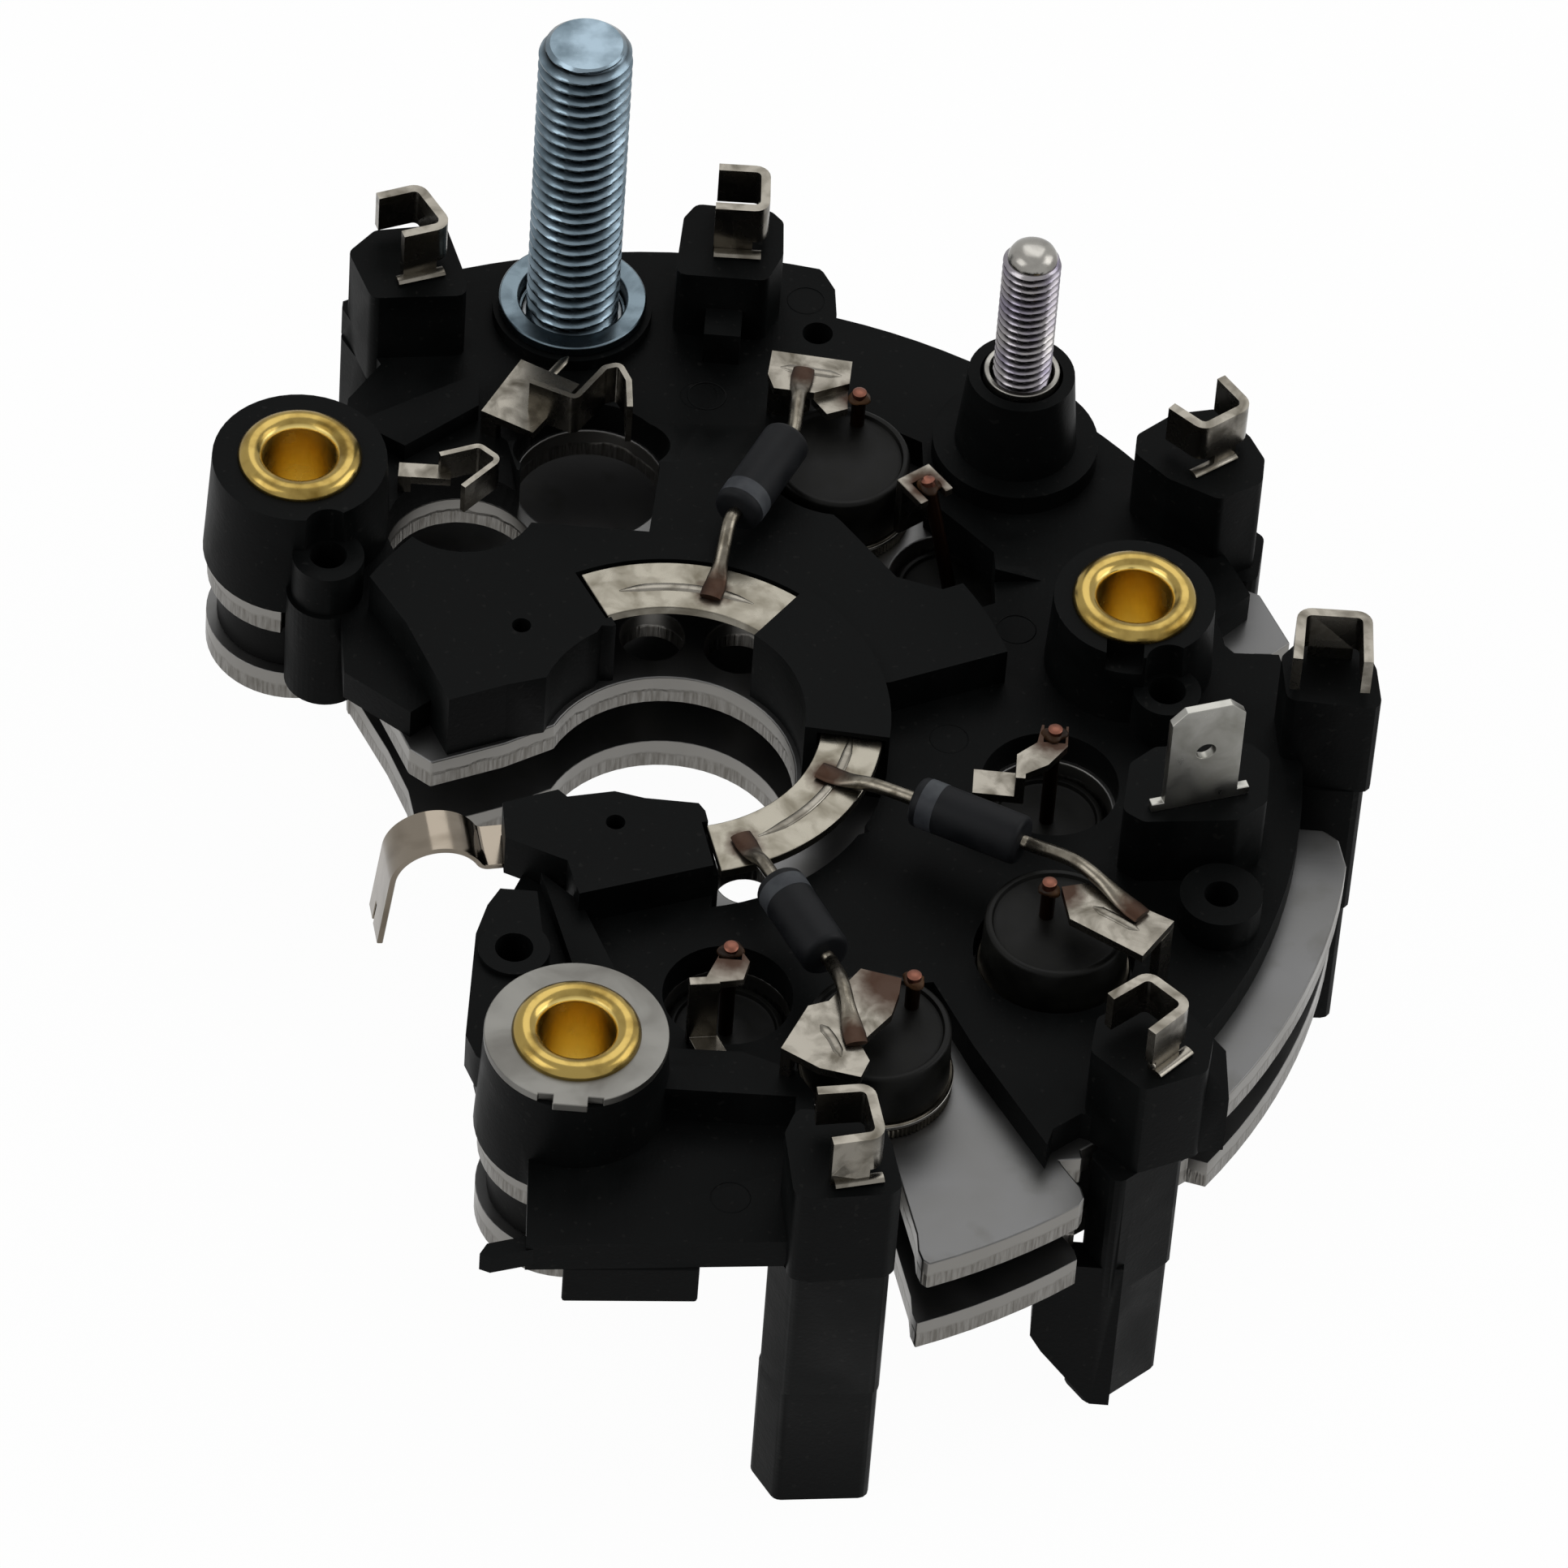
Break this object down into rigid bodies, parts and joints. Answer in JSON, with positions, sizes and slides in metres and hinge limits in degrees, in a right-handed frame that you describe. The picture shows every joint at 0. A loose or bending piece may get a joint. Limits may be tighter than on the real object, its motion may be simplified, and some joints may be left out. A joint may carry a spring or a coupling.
{
  "type": "alternator rectifier",
  "caption": "Horseshoe rectifier: two stacked heat-sink plates, a moulded carrier, press-fit power diodes, exciter diodes, studs, a blade and hooked stator terminals.",
  "frame": {"origin": "on the alternator shaft axis, at the underside of the lower heat-sink plate", "axes": "+Z along the shaft towards the studs and terminals, +Y towards the charging stud, +X towards the blade terminal; the plates lie flat in XY"},
  "size_m": [0.0985, 0.1134, 0.0632],
  "materials": {
    "heat_sink": "satin rolled sheet with bright sheared edges",
    "moulding": "matt glass-filled nylon",
    "spacer": "matt moulded ring",
    "eyelet": "polished and rolled",
    "washer": "pale plated",
    "zinc_stud": "blue zinc plated",
    "bright_stud": "bright plated",
    "tinned": "tin plated strip",
    "diode_cup": "nickel plated, knurled",
    "diode_body": "moulded epoxy",
    "copper": "pinkish copper lead"
  },
  "bodies": {
    "root": {"heat_sink_upper": "heat_sink", "heat_sink_lower": "heat_sink", "carrier": "moulding", "spacer_left": "spacer", "spacer_right": "spacer", "spacer_front": "spacer", "eyelet_left": "eyelet", "eyelet_right": "eyelet", "eyelet_front": "eyelet", "washer_front": "washer", "charge_stud": "zinc_stud", "charge_collar": "zinc_stud", "lamp_stud": "bright_stud", "lamp_collar": "bright_stud", "blade_terminal": "tinned", "exciter_ring": "tinned", "contact_spring": "tinned", "hook_back_left": "tinned", "hook_back": "tinned", "hook_back_right": "tinned", "hook_right": "tinned", "hook_front_right": "tinned", "hook_front": "tinned", "pad_back": "tinned", "pad_right": "tinned", "pad_front": "tinned", "pad_spare": "tinned", "loop_spare": "tinned", "fork_back": "tinned", "fork_right": "tinned", "fork_front": "tinned", "pos_cup_back": "diode_cup", "pos_cup_right": "diode_cup", "pos_cup_front": "diode_cup", "pos_body_back": "diode_body", "pos_body_right": "diode_body", "pos_body_front": "diode_body", "pos_lead_back": "copper", "pos_lead_right": "copper", "pos_lead_front": "copper", "neg_cup_back": "diode_cup", "neg_cup_right": "diode_cup", "neg_cup_front": "diode_cup", "neg_body_back": "diode_body", "neg_body_right": "diode_body", "neg_body_front": "diode_body", "neg_lead_back": "copper", "neg_lead_right": "copper", "neg_lead_front": "copper", "small_diode_back": "diode_body", "small_diode_right": "diode_body", "small_diode_front": "diode_body", "small_leads_back": "tinned", "small_leads_right": "tinned", "small_leads_front": "tinned", "front_insert": "moulding"}
  },
  "joints": []
}
